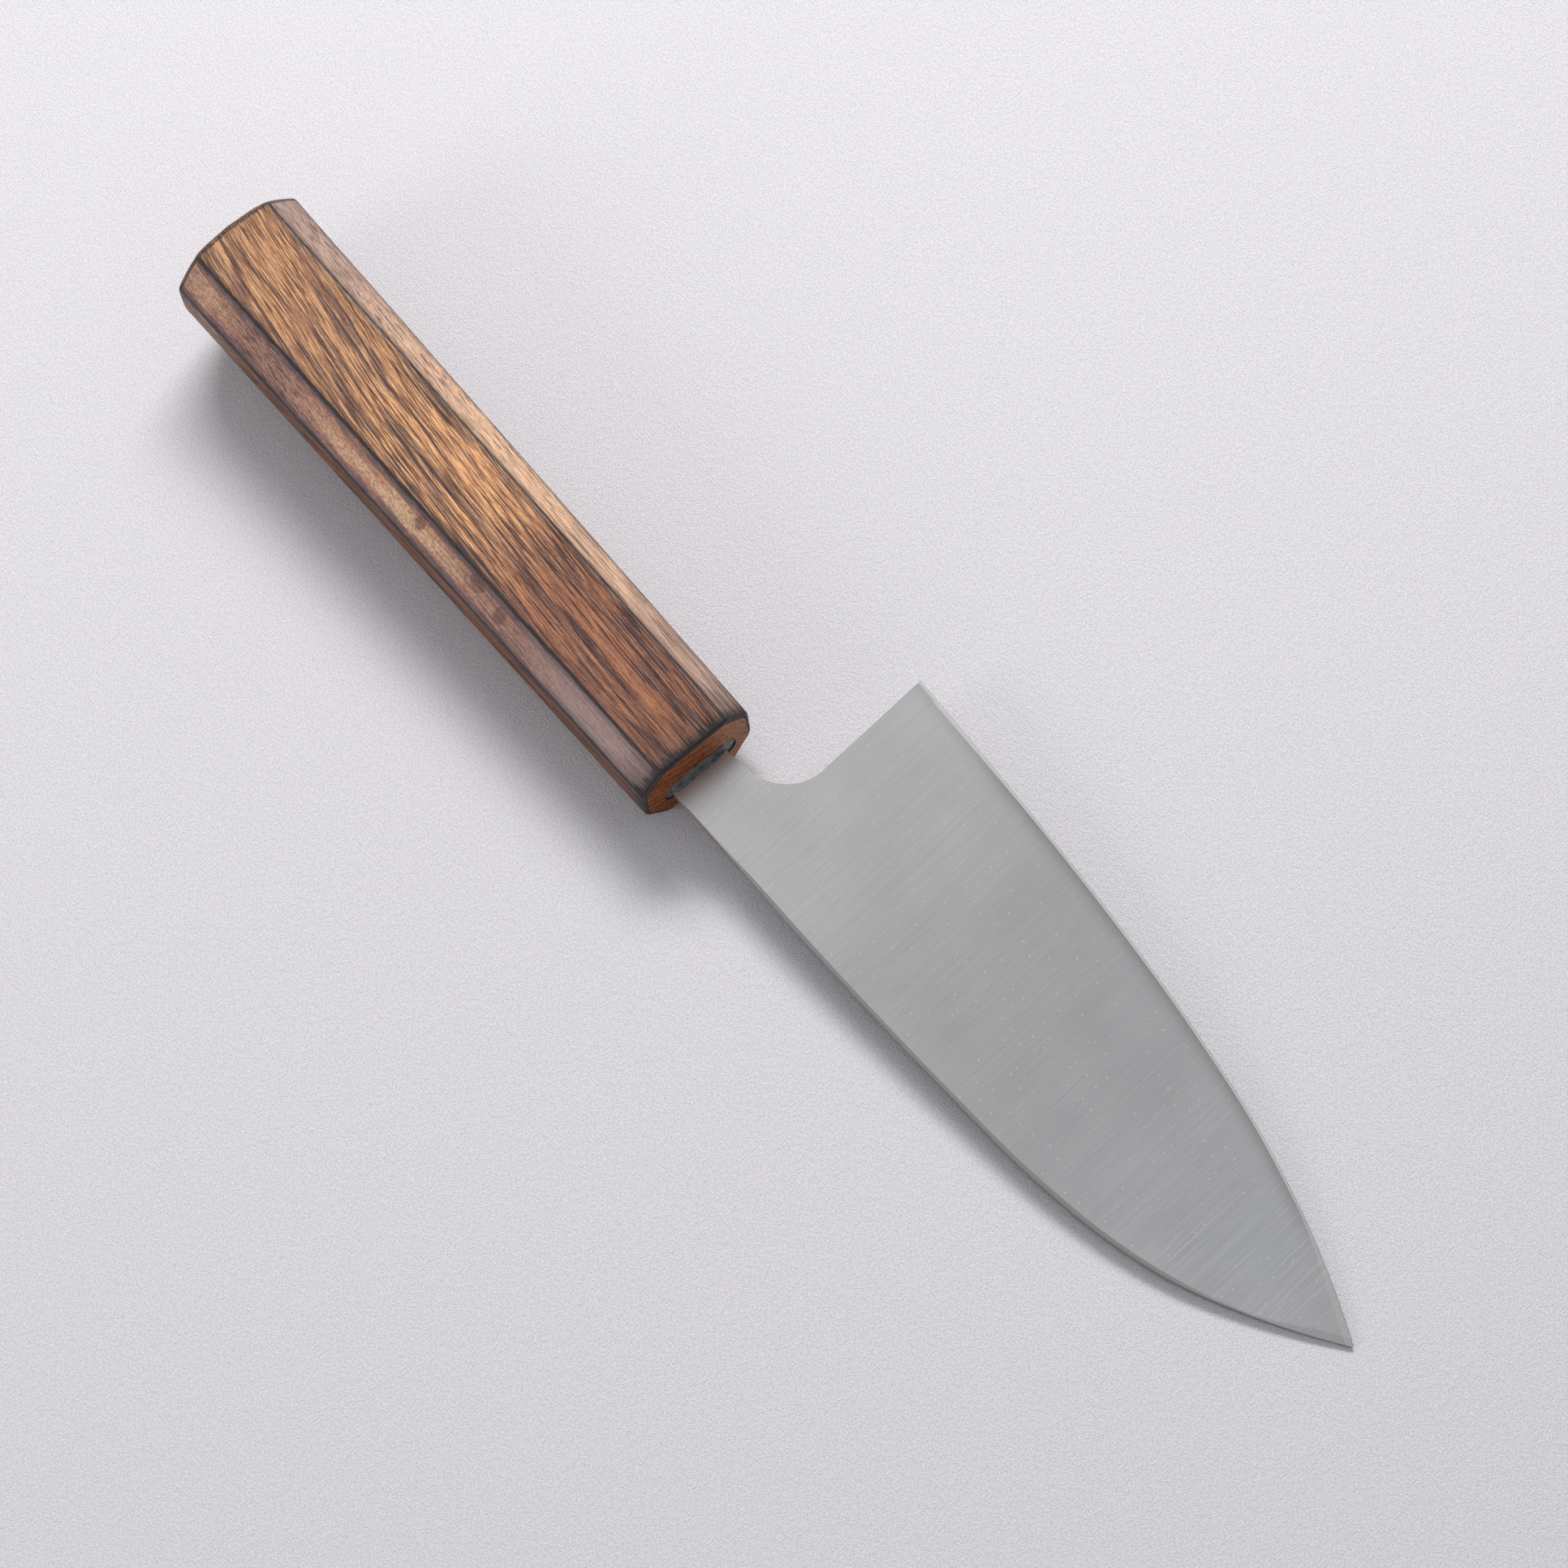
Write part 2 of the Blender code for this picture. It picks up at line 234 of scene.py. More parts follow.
class Nodes:
    """A short way to write node trees. Sockets are passed about as values."""

    def __init__(self, name):
        self.material = bpy.data.materials.new(name)
        self.material.use_nodes = True
        self.tree = self.material.node_tree
        self.shader = self.tree.nodes["Principled BSDF"]

    def put(self, socket, value):
        """Links a socket to the input, or sets the input to a number or a colour."""
        if isinstance(value, bpy.types.NodeSocket):
            self.tree.links.new(value, socket)
        elif isinstance(value, tuple) and len(value) == 3 and len(socket.default_value) == 4:
            socket.default_value = (*value, 1.0)
        else:
            socket.default_value = value

    def math(self, operation, a, b=0.0, clamped=False):
        node = self.tree.nodes.new("ShaderNodeMath")
        node.operation = operation
        node.use_clamp = clamped
        self.put(node.inputs[0], a)
        self.put(node.inputs[1], b)
        return node.outputs[0]

    def add(self, a, b):
        return self.math("ADD", a, b)

    def times(self, a, b):
        return self.math("MULTIPLY", a, b)

    def split(self, vector):
        node = self.tree.nodes.new("ShaderNodeSeparateXYZ")
        self.tree.links.new(vector, node.inputs[0])
        return [node.outputs[i] for i in range(3)]

    def position(self):
        """The point in the knife's axes, in mm, as three numbers."""
        place = self.tree.nodes.new("ShaderNodeAttribute")
        place.attribute_name = "knife_mm"
        return self.split(place.outputs["Vector"])

    def row_position(self):
        """The point in the row frame, in mm, as three numbers."""
        coordinates = self.tree.nodes.new("ShaderNodeTexCoord")
        return [self.times(number, 1 / MM) for number in self.split(coordinates.outputs["Object"])]

    def vector(self, x, y, z):
        node = self.tree.nodes.new("ShaderNodeCombineXYZ")
        for i, value in enumerate((x, y, z)):
            self.put(node.inputs[i], value)
        return node.outputs[0]

    def noise(self, x, y, z, detail=2.0, rough=0.5, warp=0.0):
        node = self.tree.nodes.new("ShaderNodeTexNoise")
        self.tree.links.new(self.vector(x, y, z), node.inputs["Vector"])
        node.inputs["Scale"].default_value = 1.0
        node.inputs["Detail"].default_value = detail
        node.inputs["Roughness"].default_value = rough
        node.inputs["Distortion"].default_value = warp
        return node.outputs["Fac"]

    def specks(self, x, y, radius):
        """1 inside small round spots, one in most cells of a loose grid."""
        node = self.tree.nodes.new("ShaderNodeTexVoronoi")
        node.voronoi_dimensions = "2D"
        self.tree.links.new(self.vector(x, y, 0.0), node.inputs["Vector"])
        node.inputs["Scale"].default_value = 1.0
        chance = self.split(node.outputs["Color"])[0]
        near = self.ramp(node.outputs["Distance"], radius * 0.6, radius, 1.0, 0.0)
        return self.times(near, self.ramp(chance, 0.35, 0.9))

    def value(self, key):
        """One of the mesh's named values."""
        node = self.tree.nodes.new("ShaderNodeAttribute")
        node.attribute_name = key
        return node.outputs["Fac"]

    def ramp(self, value, low, high, to_low=0.0, to_high=1.0):
        """value from low to high, mapped smoothly to to_low and to_high, and held outside."""
        node = self.tree.nodes.new("ShaderNodeMapRange")
        node.interpolation_type = "SMOOTHSTEP"
        self.put(node.inputs[0], value)
        for socket, number in zip(node.inputs[1:5], (low, high, to_low, to_high)):
            socket.default_value = number
        return node.outputs[0]

    def bell(self, value, centre, half_width):
        """1 at the centre, falling smoothly to 0 at half_width from it."""
        distance = self.math("ABSOLUTE", self.add(value, -centre))
        return self.ramp(distance, 0.0, half_width, 1.0, 0.0)

    def mix(self, factor, a, b, mode="MIX"):
        node = self.tree.nodes.new("ShaderNodeMix")
        node.data_type = "RGBA"
        node.blend_type = mode
        self.put(node.inputs[0], factor)
        self.put(node.inputs[6], a)
        self.put(node.inputs[7], b)
        return node.outputs[2]

    def shade(self, colour, amount):
        """The colour made lighter or darker by amount, where 1 leaves it as it is."""
        return self.mix(1.0, colour, self.vector(amount, amount, amount), "MULTIPLY")

    def bump(self, height, distance, strength=1.0):
        node = self.tree.nodes.new("ShaderNodeBump")
        node.inputs["Strength"].default_value = strength
        node.inputs["Distance"].default_value = distance
        self.put(node.inputs["Height"], height)
        return node.outputs[0]

    def finish(self, colour, roughness, normal=None, **fixed):
        self.put(self.shader.inputs["Base Color"], colour)
        self.put(self.shader.inputs["Roughness"], roughness)
        if normal is not None:
            self.put(self.shader.inputs["Normal"], normal)
        for key, value in fixed.items():
            self.shader.inputs[key.replace("_", " ")].default_value = value
        return self.material


def rgb(red, green, blue):
    """A colour given as sRGB 0 to 255, in linear light."""
    return tuple(
        (c / 255 / 12.92) if c <= 10 else ((c / 255 + 0.055) / 1.055) ** 2.4 for c in (red, green, blue)
    )


# The grain crosses the handle at a growing slant: mm across for each square mm along.
GRAIN_LEAN = -0.00061

# Small dark spots on the spine's chamfer: x, y and length in mm.
CHAMFER_SPOTS = ((-64.0, -9.4, 1.3), (-48.5, -9.0, 2.0), (-41.5, -9.8, 1.7))

# The growth rings' centre, as (y, z).
RING_CENTRE = (9.0, 34.0)


class Wood:
    """What the wood's facets share: the place, the grain at several scales, and masks cut from it."""

    def __init__(self, n):
        self.n = n
        self.x, self.y, self.z = n.position()
        self.sway = n.noise(n.times(self.x, 0.03), n.times(self.y, 0.06), n.times(self.z, 0.06), 1.0)
        lean = n.times(n.times(self.x, self.x), GRAIN_LEAN)
        self.across = n.add(n.add(self.y, lean), n.times(self.sway, 1.8))
        self.edge = n.value("edge_mm")
        self.zones = self.grain(0.02, 0.26, 2.0)
        self.streak = self.grain(0.055, 0.85, 3.0, 0.6, 0.12)
        self.dash = self.grain(0.085, 3.2, 2.0, 0.45)
        self.fine = self.grain(0.2, 6.0, 2.0, 0.5)
        self.fibre = self.grain(1.1, 9.0, 2.0, 0.6)
        dash_guide = self.leaning(self.leaning(self.dash, self.streak, 0.4), self.zones, 0.35)
        self.dashes = n.ramp(dash_guide, 0.54, 0.63)
        self.pores = n.ramp(self.leaning(self.fine, self.streak, 0.45), 0.51, 0.59)

    def grain(self, along, over, detail, rough=0.5, warp=0.0):
        """Noise stretched along the grain, from its cells per mm along it and over it."""
        n = self.n
        place = (n.times(self.x, along), n.times(self.across, over), n.times(self.z, over))
        return n.noise(*place, detail, rough, warp)

    def leaning(self, mask, guide, weight):
        """A mask made stronger where a second noise is high."""
        n = self.n
        return n.add(mask, n.times(n.add(guide, -0.5), weight))


def flat_facets(n, wood):
    """Top and bottom facets: golden brown, redder towards the front, with dark open pores."""
    clusters = n.ramp(wood.leaning(wood.streak, wood.zones, 0.5), 0.50, 0.60)
    long_line = wood.grain(0.035, 1.7, 2.0, 0.5)
    colour = n.mix(n.ramp(wood.fine, 0.38, 0.60), rgb(212, 159, 108), rgb(170, 114, 76))
    colour = n.shade(colour, n.ramp(n.bell(wood.x, -68.0, 36.0), 0.0, 1.0, 1.0, 1.34))
    near_front = n.ramp(wood.x, -60.0, -34.0)
    colour = n.mix(n.times(near_front, 0.74), colour, rgb(154, 90, 62))
    lines = n.ramp(wood.leaning(long_line, wood.zones, 0.3), 0.55, 0.63)
    colour = n.mix(n.times(lines, n.ramp(wood.x, -95.0, -30.0, 0.15, 0.8)), colour, rgb(70, 44, 38))
    colour = n.mix(n.times(clusters, 0.5), colour, rgb(116, 88, 86))
    colour = n.mix(n.times(wood.pores, 0.5), colour, rgb(98, 64, 56))
    dark = n.times(wood.dashes, n.ramp(wood.x, -118.0, -60.0, 0.6, 0.85))
    return n.mix(dark, colour, rgb(54, 42, 50))


def side_facets(n, wood):
    """Side facets: warm orange-brown with fine dark lines."""
    colour = n.mix(n.ramp(wood.streak, 0.40, 0.60), rgb(150, 84, 38), rgb(96, 54, 28))
    colour = n.mix(n.times(wood.dashes, 0.75), colour, rgb(48, 32, 28))
    return n.mix(n.times(wood.pores, 0.35), colour, rgb(60, 38, 28))


def smoky_chamfer(n, wood):
    """Chamfer on the spine's side: smoky at its edges, tan along its middle (partly the wood's colour, partly
    painted sheen), with short flecks.
    """
    x = wood.x
    across = wood.across
    fleck = n.noise(n.times(x, 1.5), n.times(across, 4.2), n.times(wood.z, 4.2), 2.0, 0.6, 0.5)
    ripple = n.noise(n.times(x, 2.2), n.times(across, 0.8), n.times(wood.z, 0.8), 2.0, 0.6, 0.4)
    # Painted sheen, strongest around the middle of the length and weaker near the butt.
    painted_sheen = n.add(n.bell(x, -72.0, 34.0), n.times(n.bell(x, -124.0, 14.0), 0.5))
    dull = n.math("SUBTRACT", 1.0, painted_sheen, True)
    inside = n.ramp(wood.leaning(wood.edge, wood.streak, 5.0), 0.6, 2.2)
    tan = n.math("MULTIPLY", n.add(n.times(painted_sheen, 0.7), 0.45), inside, True)
    colour = n.mix(tan, rgb(146, 118, 116), rgb(226, 160, 128))
    # Painted highlight along the chamfer's centre line.
    middle = n.ramp(wood.leaning(wood.edge, wood.streak, 8.0), 1.6, 2.8)
    colour = n.mix(n.times(painted_sheen, n.times(middle, 0.75)), colour, rgb(255, 216, 172))
    colour = n.mix(n.times(n.ramp(fleck, 0.50, 0.58), 0.5), colour, rgb(112, 74, 66))
    colour = n.shade(colour, n.ramp(ripple, 0.34, 0.66, 1.08, 0.88))
    colour = n.mix(n.times(n.times(wood.dashes, dull), 0.6), colour, rgb(66, 50, 48))
    # Greyish painted sheen towards the front.
    colour = n.mix(n.ramp(x, -42.0, -14.0, 0.0, 0.55), colour, rgb(186, 166, 162))
    uneven = n.times(n.add(ripple, -0.5), 2.4)
    for spot_x, spot_y, length in CHAMFER_SPOTS:
        along = n.times(n.add(x, -spot_x), 1.0 / length)
        aside = n.times(n.add(wood.y, -spot_y), 0.8)
        far = n.add(n.add(n.times(along, along), n.times(aside, aside)), uneven)
        colour = n.mix(n.ramp(far, 0.7, 0.95, 0.65, 0.0), colour, rgb(112, 74, 60))
    return colour


def pale_chamfer(n, wood):
    """Chamfer on the edge's side: pale wood with long fine lines, lighter around the middle of its length
    from a painted sheen.
    """
    colour = n.mix(n.bell(wood.x, -62.0, 78.0), rgb(174, 147, 138), rgb(246, 200, 162))
    colour = n.mix(n.times(n.ramp(wood.fine, 0.47, 0.60), 0.5), colour, rgb(136, 98, 80))
    lines = n.ramp(wood.leaning(wood.dash, wood.streak, 0.4), 0.53, 0.62)
    return n.mix(n.times(lines, 0.7), colour, rgb(98, 70, 62))


def end_faces(n, wood):
    """End grain: saturated, with short dark pores along faint growth rings, and browner at the butt."""
    ring_y = n.math("POWER", n.add(wood.y, -RING_CENTRE[0]), 2.0)
    ring_z = n.math("POWER", n.add(wood.z, -RING_CENTRE[1]), 2.0)
    ring_far = n.add(n.math("SQRT", n.add(ring_y, ring_z)), n.times(wood.sway, 4.0))
    rings = n.noise(n.times(ring_far, 1.1), 0.0, 0.0, 3.0)
    pore = n.noise(n.times(wood.y, 1.1), n.times(ring_far, 2.8), n.times(wood.x, 0.5), 2.0, 0.6)
    colour = n.mix(n.ramp(rings, 0.42, 0.58), rgb(130, 62, 20), rgb(198, 112, 44))
    colour = n.mix(n.times(n.ramp(wood.y, 1.0, 8.0), 0.7), colour, rgb(222, 158, 118))
    colour = n.mix(n.times(n.ramp(pore, 0.52, 0.60), 0.85), colour, rgb(50, 26, 18))
    colour = n.shade(colour, n.ramp(wood.fibre, 0.35, 0.65, 0.75, 1.25))
    butt = n.ramp(wood.x, -120.0, -100.0, 1.0, 0.0)
    colour = n.mix(n.times(butt, 0.5), colour, rgb(104, 68, 46))
    return n.mix(n.times(butt, n.ramp(rings, 0.48, 0.60, 0.0, 0.6)), colour, rgb(70, 42, 30))


def scorched(n, wood, colour, end_grain):
    """Burnt wood: blue-black lines along the long edges, a charred band at the front, a thin one behind."""
    dash = wood.dash
    fine = wood.fine
    streak = wood.streak
    leaning = wood.leaning
    flank = n.math("SUBTRACT", 1.0, end_grain, True)
    uneven = leaning(leaning(n.value("scorch"), dash, 3.0), fine, 1.6)
    along_edge = n.times(n.ramp(uneven, 0.75, 1.35, 0.9, 0.0), flank)
    smoke_edge = n.times(n.ramp(leaning(wood.edge, streak, 4.0), 0.3, 1.8, 0.45, 0.0), flank)
    front_guide = leaning(leaning(wood.x, dash, 5.0), fine, 3.0)
    front_char = n.times(n.ramp(front_guide, -2.5, -1.1, 0.0, 0.93), flank)
    front_smoke = n.times(n.ramp(leaning(wood.x, streak, 14.0), -10.0, -1.0, 0.0, 0.6), flank)
    butt_guide = leaning(n.value("butt_mm"), dash, 1.2)
    butt_char = n.times(n.ramp(butt_guide, 0.15, 0.5, 0.85, 0.0), flank)
    lip_guide = leaning(n.value("lip_mm"), fine, 0.8)
    lip = n.times(end_grain, n.ramp(lip_guide, 0.1, 0.45, 0.95, 0.0))
    colour = n.mix(n.math("MAXIMUM", front_smoke, smoke_edge), colour, rgb(70, 50, 47))
    char = n.math("MAXIMUM", n.math("MAXIMUM", along_edge, front_char), n.math("MAXIMUM", butt_char, lip))
    return n.mix(char, colour, rgb(30, 30, 34))


def wood_material():
    n = Nodes("scorched_wood")
    wood = Wood(n)
    end_grain = n.value("end_grain")
    colour = n.mix(n.value("side"), flat_facets(n, wood), side_facets(n, wood))
    colour = n.mix(n.value("spine_chamfer"), colour, smoky_chamfer(n, wood))
    colour = n.mix(n.value("edge_chamfer"), colour, pale_chamfer(n, wood))
    colour = n.shade(colour, n.ramp(wood.fibre, 0.32, 0.68, 0.82, 1.18))
    colour = n.mix(end_grain, colour, end_faces(n, wood))
    colour = scorched(n, wood, colour, end_grain)
    roughness = n.add(n.add(0.38, n.times(wood.dashes, 0.25)), n.times(end_grain, 0.25))
    relief = n.add(n.times(wood.dashes, -1.0), n.add(n.times(wood.pores, -0.7), n.times(wood.fibre, 0.7)))
    normal = n.bump(relief, 0.00009, 0.8)
    return n.finish(colour, roughness, normal, Specular_IOR_Level=0.4)


def steel_material():
    n = Nodes("ground_steel")
    x, y, z = n.position()
    wall = n.value("wall")
    # Grinding lines run across the blade, a little slanted.
    slant = n.add(x, n.times(y, 0.05))
    fine = n.noise(n.times(slant, 5.2), n.times(y, 0.06), n.times(z, 0.2), 3.0, 0.65)
    coarse = n.noise(n.times(slant, 1.4), n.times(y, 0.03), n.times(z, 0.2), 2.0)
    deep = n.noise(n.times(slant, 3.6), n.times(y, 0.16), 7.0, 1.0)
    cloud = n.noise(n.times(x, 0.05), n.times(y, 0.06), 0.0, 2.0)
    dust = n.specks(n.times(x, 0.36), n.times(y, 0.36), 0.07)
    crumbs = n.specks(n.times(x, 0.7), n.times(y, 0.7), 0.08)
    hair = n.noise(n.times(x, 1.1), n.times(y, 1.1), 3.0, 1.0, 0.5, 2.5)

    # The hollow back: a little brighter towards the handle from a painted reflection, and darker right by the
    # handle's front from painted shade, with dust and fine scratch marks.
    tone = n.mix(n.ramp(x, 12.0, 74.0), (0.74, 0.725, 0.71), (0.60, 0.595, 0.585))
    tone = n.shade(tone, n.ramp(x, 2.0, 14.0, 0.8, 1.0))
    tone = n.mix(n.bell(x, 128.0, 44.0), tone, (0.60, 0.60, 0.60))
    tone = n.shade(tone, n.ramp(fine, 0.25, 0.75, 0.96, 1.04))
    tone = n.shade(tone, n.ramp(coarse, 0.3, 0.7, 0.985, 1.015))
    lines = n.times(n.ramp(x, 92.0, 122.0), n.ramp(fine, 0.5, 0.66, 0.0, 0.45))
    tone = n.mix(lines, tone, (0.76, 0.76, 0.74))
    tone = n.shade(tone, n.ramp(cloud, 0.3, 0.7, 0.965, 1.035))
    tone = n.mix(n.times(n.ramp(deep, 0.66, 0.74), 0.25), tone, (0.75, 0.75, 0.74))
    tone = n.mix(n.times(n.ramp(hair, 0.735, 0.75), 0.4), tone, (0.85, 0.85, 0.84))
    specks = n.math("MAXIMUM", dust, n.times(crumbs, 0.6))
    tone = n.mix(n.times(specks, 0.75), tone, (0.92, 0.91, 0.88))

    # The spine's rim and the outline's rounded walls are darker. Painted shade darkens the band where the
    # hollow rises to the cutting edge's rim, and a painted highlight makes that rim and the edge pale.
    rim = n.times(n.value("rim"), n.ramp(x, 116.0, 136.0, 1.0, 0.4))
    tone = n.mix(rim, tone, (0.40, 0.395, 0.38))
    tone = n.mix(n.times(wall, 0.9), tone, (0.44, 0.40, 0.36))
    slope_shade = n.times(n.value("slope_shade"), n.ramp(n.bell(x, 80.0, 72.0), 0.0, 0.5, 0.25, 0.75))
    tone = n.mix(slope_shade, tone, (0.34, 0.34, 0.33))
    # Painted highlight along the cutting edge's rim and fine bevel, fading towards the tip.
    edge_highlight = n.times(n.value("edge_highlight"), n.ramp(x, 118.0, 134.0, 0.85, 0.2))
    tone = n.mix(edge_highlight, tone, (0.93, 0.89, 0.81))

    # The outer face and its bevel are ground along the blade.
    lengthwise = n.noise(n.times(x, 0.12), n.times(y, 6.0), n.times(z, 6.0), 2.0)
    outer_tone = n.mix(n.value("bevel"), (0.5, 0.5, 0.5), (0.6, 0.6, 0.6))
    outer_tone = n.shade(outer_tone, n.ramp(lengthwise, 0.3, 0.7, 0.9, 1.1))
    tone = n.mix(n.value("outer"), tone, outer_tone)
    near_handle = n.ramp(x, 1.0, 14.0, 0.16, 0.0)
    roughness = n.add(n.add(0.13, n.times(fine, 0.07)), n.add(n.times(wall, 0.25), near_handle))
    normal = n.bump(fine, 0.000006, 0.4)
    return n.finish(tone, roughness, normal, Metallic=1.0)


def resin_material():
    n = Nodes("dark_resin")
    x, y, z = n.row_position()
    lumps = n.noise(n.times(x, 1.0), n.times(y, 0.6), n.times(z, 1.0), 3.0, 0.6)
    specks = n.noise(n.times(x, 5.0), n.times(y, 4.0), n.times(z, 5.0), 2.0)
    painted_gloss_streaks = n.noise(n.times(x, 0.8), n.times(y, 7.0), n.times(z, 0.8), 2.0, 0.5, 0.6)
    colour = n.mix(n.ramp(lumps, 0.35, 0.65), rgb(68, 70, 68), rgb(116, 118, 116))
    # Thin lighter streaks are painted glossy highlights.
    colour = n.mix(n.times(n.ramp(painted_gloss_streaks, 0.58, 0.66), 0.4), colour, rgb(128, 130, 124))
    colour = n.mix(n.times(n.ramp(specks, 0.66, 0.72), 0.5), colour, rgb(150, 150, 140))
    roughness = n.ramp(specks, 0.3, 0.7, 0.22, 0.45)
    normal = n.bump(n.add(lumps, n.times(specks, 0.25)), 0.00012, 0.7)
    return n.finish(colour, roughness, normal)


def paper_material():
    n = Nodes("pale_paper")
    x, y, _ = n.row_position()
    tooth = n.noise(n.times(x, 3.0), n.times(y, 3.0), 0.0, 2.0, 0.7)
    lumps = n.noise(n.times(x, 0.8), n.times(y, 0.8), 2.0, 2.0, 0.6)
    fibres = n.noise(n.times(x, 0.9), n.times(y, 3.0), 4.0, 2.0, 0.5, 1.0)
    colour = n.shade((0.765, 0.750, 0.782), n.ramp(tooth, 0.3, 0.7, 0.86, 1.14))
    colour = n.mix(n.times(n.ramp(fibres, 0.70, 0.76), 0.3), colour, (0.5, 0.5, 0.52))
    normal = n.bump(n.add(tooth, n.times(lumps, 0.6)), 0.0003, 0.7)
    return n.finish(colour, 0.85, normal, Specular_IOR_Level=0.2)


# ---------------------------------------------------------------- blade


def blade_thickness(x):
    t = max(0.0, (x - TAPER_START) / (TIP_X - TAPER_START))
    return blend(NECK_THICKNESS, TIP_THICKNESS, t**1.6)


def spine_rim(x):
    """Width of the flat rim along the spine."""
    even = blend(0.3, 0.5, ease(14, 26, x)) + 0.18 * ease(78, 100, x) - 0.25 * hump(133, 12, x)
    return even + 1.1 * ease(137, 148, x)


def edge_rim(x):
    """Width of the flat rim along the cutting edge."""
    return 0.42 + 0.4 * (1 - ease(14, 50, x)) + 1.0 * ease(126, 147, x)


def hollow_depth(x):
    """Depth of the hollow's middle: none at the neck and at the tip."""
    return HOLLOW_DEPTH * ease(8, 40, x) * (1 - ease(126, 148, x))


def back_height(x, y):
    """The back: flat rims, and a shallow round hollow between them."""
    low = spine_y(x) + spine_rim(x)
    high = edge_y(x) - edge_rim(x)
    if high <= low:
        return BACK_Z
    t = clamp((y - low) / (high - low))
    return BACK_Z - hollow_depth(x) * ease(2.0, 10.0, high - low) * 4 * t * (1 - t)


def outer_height(x, y):
    """The outer face: flat from the spine to the bevel's shoulder, then down to the edge."""
    thickness = blade_thickness(x)
    bevel = blend(BEVEL_WIDTH_HEEL, BEVEL_WIDTH_TIP, max(0.0, x / TIP_X) ** 2)
    bevel = min(bevel, (edge_y(x) - spine_y(x)) * 0.6)
    t = clamp((edge_y(x) - y) / bevel)
    return BACK_Z - blend(EDGE_THICKNESS, thickness, t)


def tang_side(x, sign):
    """The tang's outline on the spine's side (-1) or the edge's side (1)."""
    t = clamp(-x / TANG_LENGTH)
    neck = NECK_SPINE_Y if sign < 0 else NECK_EDGE_Y
    return blend(neck, sign * TANG_END_HALF, t)


def neck_edge(x):
    """The edge-side outline of the neck and of the notch's arc, up to the arc's end."""
    if x <= 0:
        return tang_side(x, 1)
    arc_low = NOTCH_CENTRE[1] - NOTCH_RADIUS
    if x <= NOTCH_CENTRE[0]:
        along = x / NOTCH_CENTRE[0]
        return blend(NECK_EDGE_Y, arc_low, (ease(0.0, 1.0, along) + along) / 2)
    run = min(x - NOTCH_CENTRE[0], NOTCH_RADIUS)
    return NOTCH_CENTRE[1] - math.sqrt(NOTCH_RADIUS**2 - run**2)


# Faces across the blade: from the spine to the neck's edge, and on from there to the cutting edge.
NECK_COLUMNS = 16
HEEL_COLUMNS = 18
# Rows shorter than this, near the tip, are divided evenly.
NARROW = 8.0
ARC_END = NOTCH_CENTRE[0] + NOTCH_RADIUS
ARC_ROWS = 16
BODY_ROWS = 110
# The fine bevel that ends the back at the cutting edge, and the rounding of the rest of the outline.
EDGE_INSET = 0.24
EDGE_DEPTH = 0.05
OUTLINE_ROUNDING = 0.1


def columns_from_spine(low, high, rim):
    """Distances across from the spine: close together at the rim, even beyond it."""
    near = [0.0, rim * 0.5, rim - 0.04, rim + 0.04, rim + 0.5]
    rest = NECK_COLUMNS - len(near)
    start = near[-1]
    return [low + d for d in near] + [blend(low + start, high, (i + 1) / (rest + 1)) for i in range(rest + 1)]


def columns_to_edge(low, high, rim):
    """Distances across to the cutting edge: even, then close together at the rim."""
    near = [rim + 1.7, rim + 0.5, rim + 0.04, rim - 0.04, 0.0]
    rest = HEEL_COLUMNS - len(near)
    end = high - near[0]
    return [blend(low, end, (i + 1) / (rest + 1)) for i in range(rest)] + [high - d for d in near]


def blade_stations():
    """Rows of (x, y) across the blade: the tang and neck, and from the notch to the tip."""
    neck = []
    stops = [-TANG_LENGTH + 4 * i for i in range(21)] + [0.0, 0.9, 1.8, 2.8, 4.0, NOTCH_CENTRE[0]]
    quarter = 0.5 * math.pi
    stops += [NOTCH_CENTRE[0] + NOTCH_RADIUS * math.sin(quarter * i / ARC_ROWS) for i in range(1, ARC_ROWS)]
    for x in stops:
        low = tang_side(x, -1) if x < 0 else spine_y(x)
        neck.append([(x, y) for y in columns_from_spine(low, neck_edge(x), 0.3)])
    body = []
    split = (NOTCH_CENTRE[1] - spine_y(ARC_END)) / (edge_y(ARC_END) - spine_y(ARC_END))
    for i in range(BODY_ROWS + 1):
        t = math.sin(quarter * i / BODY_ROWS) * 0.6 + 0.4 * i / BODY_ROWS
        x = blend(ARC_END, TIP_X - 0.05, t)
        low = spine_y(x)
        high = edge_y(x)
        if high - low < NARROW:
            margin = 0.28 * clamp(high - low)
            even = NECK_COLUMNS + HEEL_COLUMNS - 2
            inner = [blend(low + margin * 0.5, high - margin, k / even) for k in range(even + 1)]
            ys = [low, *inner, high]
        else:
            middle = blend(low, high, split)
            ys = columns_from_spine(low, middle, spine_rim(x)) + columns_to_edge(middle, high, edge_rim(x))
        lean = (HEEL[0] - ARC_END) / (HEEL[1] - NOTCH_CENTRE[1]) * (1 - ease(ARC_END, 34.0, x))
        body.append([(x + lean * max(0.0, y - NOTCH_CENTRE[1]), y) for y in ys])
    return neck, body


